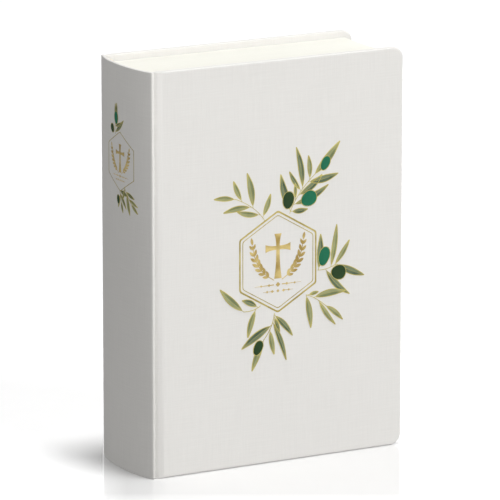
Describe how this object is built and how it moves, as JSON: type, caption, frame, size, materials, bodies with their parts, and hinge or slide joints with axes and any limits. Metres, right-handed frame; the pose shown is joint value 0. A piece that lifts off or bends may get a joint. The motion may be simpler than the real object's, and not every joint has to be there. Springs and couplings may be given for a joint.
{
  "type": "bible",
  "caption": "Thick cloth-bound bible standing upright: rounded spine, two hinged hard covers, sewn gatherings that fan open, gold foil ornament on the front and spine.",
  "frame": {"origin": "middle of the footprint, on the plane that the book stands on (the tail edges of the covers)", "axes": "+X from the spine to the fore-edge, +Y from the front cover to the back cover, +Z from tail to head; seen from -Y the front cover faces the viewer with the spine on the left"},
  "size_m": [0.1704, 0.0636, 0.24],
  "materials": {
    "bookcloth": "woven linen bookcloth, light grey",
    "grey_board": "grey board",
    "card": "card strip",
    "endpaper": "heavy ivory paper",
    "bible_paper": "thin ivory paper, cut edges",
    "mull_gauze": "starched cotton gauze",
    "kraft_paper": "brown kraft paper",
    "band_silk": "woven band",
    "linen_thread": "linen thread"
  },
  "bodies": {
    "spine": {"spine_cloth": "bookcloth", "spine_inlay": "card", "kraft_lining": "kraft_paper", "spine_mull": "mull_gauze", "glued_backs": "bible_paper", "head_band": "band_silk", "tail_band": "band_silk", "kettle_stitch_tail": "linen_thread", "link_stitch_1": "linen_thread", "link_stitch_2": "linen_thread", "link_stitch_3": "linen_thread", "link_stitch_4": "linen_thread", "kettle_stitch_head": "linen_thread"},
    "front_joint": {"front_joint_cloth": "bookcloth", "front_joint_mull": "mull_gauze", "front_endpaper_fold": "endpaper"},
    "front_cover": {"front_cover_cloth": "bookcloth", "front_board": "grey_board", "front_mull_flange": "mull_gauze", "front_pastedown": "endpaper"},
    "front_leaf": {"front_flyleaf": "endpaper"},
    "gathering_14_body": {"gathering_14": "bible_paper"},
    "gathering_13_body": {"gathering_13": "bible_paper"},
    "gathering_12_body": {"gathering_12": "bible_paper"},
    "gathering_11_body": {"gathering_11": "bible_paper"},
    "gathering_10_body": {"gathering_10": "bible_paper"},
    "gathering_09_body": {"gathering_09": "bible_paper"},
    "gathering_08_body": {"gathering_08": "bible_paper"},
    "gathering_07_body": {"gathering_07": "bible_paper"},
    "gathering_06_body": {"gathering_06": "bible_paper"},
    "gathering_05_body": {"gathering_05": "bible_paper"},
    "gathering_04_body": {"gathering_04": "bible_paper"},
    "gathering_03_body": {"gathering_03": "bible_paper"},
    "gathering_02_body": {"gathering_02": "bible_paper"},
    "gathering_01_body": {"gathering_01": "bible_paper"},
    "back_joint": {"back_joint_cloth": "bookcloth", "back_joint_mull": "mull_gauze", "back_endpaper_fold": "endpaper"},
    "back_cover": {"back_cover_cloth": "bookcloth", "back_board": "grey_board", "back_mull_flange": "mull_gauze", "back_pastedown": "endpaper"},
    "back_leaf": {"back_flyleaf": "endpaper"},
    "gathering_15_body": {"gathering_15": "bible_paper"},
    "gathering_16_body": {"gathering_16": "bible_paper"},
    "gathering_17_body": {"gathering_17": "bible_paper"},
    "gathering_18_body": {"gathering_18": "bible_paper"},
    "gathering_19_body": {"gathering_19": "bible_paper"},
    "gathering_20_body": {"gathering_20": "bible_paper"},
    "gathering_21_body": {"gathering_21": "bible_paper"},
    "gathering_22_body": {"gathering_22": "bible_paper"},
    "gathering_23_body": {"gathering_23": "bible_paper"},
    "gathering_24_body": {"gathering_24": "bible_paper"},
    "gathering_25_body": {"gathering_25": "bible_paper"},
    "gathering_26_body": {"gathering_26": "bible_paper"},
    "gathering_27_body": {"gathering_27": "bible_paper"},
    "gathering_28_body": {"gathering_28": "bible_paper"}
  },
  "joints": [
    {"name": "front_joint_flex", "type": "hinge", "parent": "spine", "child": "front_joint", "pos_m": [-0.07865, -0.0309, 0.12], "axis": [0, 0, -1], "range_deg": [0, 80]},
    {"name": "front_cover_open", "type": "hinge", "parent": "front_joint", "child": "front_cover", "pos_m": [-0.07365, -0.0315, 0.12], "axis": [0, 0, -1], "range_deg": [0, 105]},
    {"name": "front_leaf_turn", "type": "hinge", "parent": "spine", "child": "front_leaf", "pos_m": [-0.07555, -0.02775, 0.12], "axis": [0, 0, -1], "range_deg": [0, 80]},
    {"name": "gathering_14_turn", "type": "hinge", "parent": "spine", "child": "gathering_14_body", "pos_m": [-0.06868, -0.0019, 0.12], "axis": [0, 0, -1], "range_deg": [0, 80]},
    {"name": "gathering_13_turn", "type": "hinge", "parent": "spine", "child": "gathering_13_body", "pos_m": [-0.06873, -0.00385, 0.12], "axis": [0, 0, -1], "range_deg": [0, 80]},
    {"name": "gathering_12_turn", "type": "hinge", "parent": "spine", "child": "gathering_12_body", "pos_m": [-0.06878, -0.00581, 0.12], "axis": [0, 0, -1], "range_deg": [0, 80]},
    {"name": "gathering_11_turn", "type": "hinge", "parent": "spine", "child": "gathering_11_body", "pos_m": [-0.06883, -0.00776, 0.12], "axis": [0, 0, -1], "range_deg": [0, 80]},
    {"name": "gathering_10_turn", "type": "hinge", "parent": "spine", "child": "gathering_10_body", "pos_m": [-0.06888, -0.00972, 0.12], "axis": [0, 0, -1], "range_deg": [0, 80]},
    {"name": "gathering_09_turn", "type": "hinge", "parent": "spine", "child": "gathering_09_body", "pos_m": [-0.06905, -0.01167, 0.12], "axis": [0, 0, -1], "range_deg": [0, 80]},
    {"name": "gathering_08_turn", "type": "hinge", "parent": "spine", "child": "gathering_08_body", "pos_m": [-0.06938, -0.01363, 0.12], "axis": [0, 0, -1], "range_deg": [0, 80]},
    {"name": "gathering_07_turn", "type": "hinge", "parent": "spine", "child": "gathering_07_body", "pos_m": [-0.06984, -0.01559, 0.12], "axis": [0, 0, -1], "range_deg": [0, 80]},
    {"name": "gathering_06_turn", "type": "hinge", "parent": "spine", "child": "gathering_06_body", "pos_m": [-0.07044, -0.01754, 0.12], "axis": [0, 0, -1], "range_deg": [0, 80]},
    {"name": "gathering_05_turn", "type": "hinge", "parent": "spine", "child": "gathering_05_body", "pos_m": [-0.07116, -0.0195, 0.12], "axis": [0, 0, -1], "range_deg": [0, 80]},
    {"name": "gathering_04_turn", "type": "hinge", "parent": "spine", "child": "gathering_04_body", "pos_m": [-0.07201, -0.02145, 0.12], "axis": [0, 0, -1], "range_deg": [0, 80]},
    {"name": "gathering_03_turn", "type": "hinge", "parent": "spine", "child": "gathering_03_body", "pos_m": [-0.07299, -0.02341, 0.12], "axis": [0, 0, -1], "range_deg": [0, 80]},
    {"name": "gathering_02_turn", "type": "hinge", "parent": "spine", "child": "gathering_02_body", "pos_m": [-0.07411, -0.02536, 0.12], "axis": [0, 0, -1], "range_deg": [0, 80]},
    {"name": "gathering_01_turn", "type": "hinge", "parent": "spine", "child": "gathering_01_body", "pos_m": [-0.07536, -0.02732, 0.12], "axis": [0, 0, -1], "range_deg": [0, 80]},
    {"name": "back_joint_flex", "type": "hinge", "parent": "spine", "child": "back_joint", "pos_m": [-0.07865, 0.0309, 0.12], "axis": [0, 0, 1], "range_deg": [0, 80]},
    {"name": "back_cover_open", "type": "hinge", "parent": "back_joint", "child": "back_cover", "pos_m": [-0.07365, 0.0315, 0.12], "axis": [0, 0, 1], "range_deg": [0, 105]},
    {"name": "back_leaf_turn", "type": "hinge", "parent": "spine", "child": "back_leaf", "pos_m": [-0.07555, 0.02775, 0.12], "axis": [0, 0, 1], "range_deg": [0, 80]},
    {"name": "gathering_15_turn", "type": "hinge", "parent": "spine", "child": "gathering_15_body", "pos_m": [-0.06868, 0.0019, 0.12], "axis": [0, 0, 1], "range_deg": [0, 80]},
    {"name": "gathering_16_turn", "type": "hinge", "parent": "spine", "child": "gathering_16_body", "pos_m": [-0.06873, 0.00385, 0.12], "axis": [0, 0, 1], "range_deg": [0, 80]},
    {"name": "gathering_17_turn", "type": "hinge", "parent": "spine", "child": "gathering_17_body", "pos_m": [-0.06878, 0.00581, 0.12], "axis": [0, 0, 1], "range_deg": [0, 80]},
    {"name": "gathering_18_turn", "type": "hinge", "parent": "spine", "child": "gathering_18_body", "pos_m": [-0.06883, 0.00776, 0.12], "axis": [0, 0, 1], "range_deg": [0, 80]},
    {"name": "gathering_19_turn", "type": "hinge", "parent": "spine", "child": "gathering_19_body", "pos_m": [-0.06888, 0.00972, 0.12], "axis": [0, 0, 1], "range_deg": [0, 80]},
    {"name": "gathering_20_turn", "type": "hinge", "parent": "spine", "child": "gathering_20_body", "pos_m": [-0.06905, 0.01167, 0.12], "axis": [0, 0, 1], "range_deg": [0, 80]},
    {"name": "gathering_21_turn", "type": "hinge", "parent": "spine", "child": "gathering_21_body", "pos_m": [-0.06938, 0.01363, 0.12], "axis": [0, 0, 1], "range_deg": [0, 80]},
    {"name": "gathering_22_turn", "type": "hinge", "parent": "spine", "child": "gathering_22_body", "pos_m": [-0.06984, 0.01559, 0.12], "axis": [0, 0, 1], "range_deg": [0, 80]},
    {"name": "gathering_23_turn", "type": "hinge", "parent": "spine", "child": "gathering_23_body", "pos_m": [-0.07044, 0.01754, 0.12], "axis": [0, 0, 1], "range_deg": [0, 80]},
    {"name": "gathering_24_turn", "type": "hinge", "parent": "spine", "child": "gathering_24_body", "pos_m": [-0.07116, 0.0195, 0.12], "axis": [0, 0, 1], "range_deg": [0, 80]},
    {"name": "gathering_25_turn", "type": "hinge", "parent": "spine", "child": "gathering_25_body", "pos_m": [-0.07201, 0.02145, 0.12], "axis": [0, 0, 1], "range_deg": [0, 80]},
    {"name": "gathering_26_turn", "type": "hinge", "parent": "spine", "child": "gathering_26_body", "pos_m": [-0.07299, 0.02341, 0.12], "axis": [0, 0, 1], "range_deg": [0, 80]},
    {"name": "gathering_27_turn", "type": "hinge", "parent": "spine", "child": "gathering_27_body", "pos_m": [-0.07411, 0.02536, 0.12], "axis": [0, 0, 1], "range_deg": [0, 80]},
    {"name": "gathering_28_turn", "type": "hinge", "parent": "spine", "child": "gathering_28_body", "pos_m": [-0.07536, 0.02732, 0.12], "axis": [0, 0, 1], "range_deg": [0, 80]}
  ],
  "couplings": [
    {"joint": "front_leaf_turn", "follows": "front_joint_flex", "ratio": 0.965},
    {"joint": "gathering_14_turn", "follows": "front_joint_flex", "ratio": 0.034483},
    {"joint": "gathering_13_turn", "follows": "front_joint_flex", "ratio": 0.10345},
    {"joint": "gathering_12_turn", "follows": "front_joint_flex", "ratio": 0.17241},
    {"joint": "gathering_11_turn", "follows": "front_joint_flex", "ratio": 0.24138},
    {"joint": "gathering_10_turn", "follows": "front_joint_flex", "ratio": 0.31034},
    {"joint": "gathering_09_turn", "follows": "front_joint_flex", "ratio": 0.37931},
    {"joint": "gathering_08_turn", "follows": "front_joint_flex", "ratio": 0.44828},
    {"joint": "gathering_07_turn", "follows": "front_joint_flex", "ratio": 0.51724},
    {"joint": "gathering_06_turn", "follows": "front_joint_flex", "ratio": 0.58621},
    {"joint": "gathering_05_turn", "follows": "front_joint_flex", "ratio": 0.65517},
    {"joint": "gathering_04_turn", "follows": "front_joint_flex", "ratio": 0.72414},
    {"joint": "gathering_03_turn", "follows": "front_joint_flex", "ratio": 0.7931},
    {"joint": "gathering_02_turn", "follows": "front_joint_flex", "ratio": 0.86207},
    {"joint": "gathering_01_turn", "follows": "front_joint_flex", "ratio": 0.93103},
    {"joint": "back_leaf_turn", "follows": "back_joint_flex", "ratio": 0.965},
    {"joint": "gathering_15_turn", "follows": "back_joint_flex", "ratio": 0.034483},
    {"joint": "gathering_16_turn", "follows": "back_joint_flex", "ratio": 0.10345},
    {"joint": "gathering_17_turn", "follows": "back_joint_flex", "ratio": 0.17241},
    {"joint": "gathering_18_turn", "follows": "back_joint_flex", "ratio": 0.24138},
    {"joint": "gathering_19_turn", "follows": "back_joint_flex", "ratio": 0.31034},
    {"joint": "gathering_20_turn", "follows": "back_joint_flex", "ratio": 0.37931},
    {"joint": "gathering_21_turn", "follows": "back_joint_flex", "ratio": 0.44828},
    {"joint": "gathering_22_turn", "follows": "back_joint_flex", "ratio": 0.51724},
    {"joint": "gathering_23_turn", "follows": "back_joint_flex", "ratio": 0.58621},
    {"joint": "gathering_24_turn", "follows": "back_joint_flex", "ratio": 0.65517},
    {"joint": "gathering_25_turn", "follows": "back_joint_flex", "ratio": 0.72414},
    {"joint": "gathering_26_turn", "follows": "back_joint_flex", "ratio": 0.7931},
    {"joint": "gathering_27_turn", "follows": "back_joint_flex", "ratio": 0.86207},
    {"joint": "gathering_28_turn", "follows": "back_joint_flex", "ratio": 0.93103}
  ]
}
